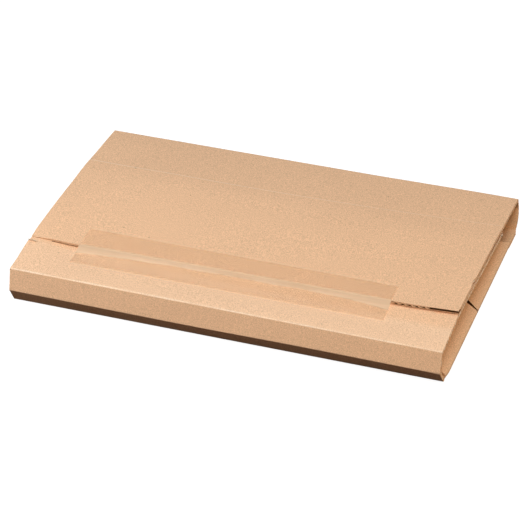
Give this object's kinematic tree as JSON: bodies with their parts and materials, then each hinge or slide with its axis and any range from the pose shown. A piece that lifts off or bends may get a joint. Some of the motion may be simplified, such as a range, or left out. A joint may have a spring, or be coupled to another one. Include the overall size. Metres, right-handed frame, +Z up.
{
  "type": "corrugated mailer box",
  "caption": "Flat mailer folded from a single sheet of brown corrugated board: creased long walls, lapped top wings closed with clear tape, and slit end flaps leaning in.",
  "frame": {"origin": "middle of the box's footprint, on the face it rests on", "axes": "+X along the long creases, +Y from the creased front wall to the back, +Z up"},
  "size_m": [0.396, 0.2564, 0.0435],
  "materials": {
    "kraft_board": "uncoated brown kraft, matt",
    "clear_tape": "clear glossy film"
  },
  "bodies": {
    "root": {"mailer_blank": "kraft_board", "seam_tape": "clear_tape"}
  },
  "joints": []
}
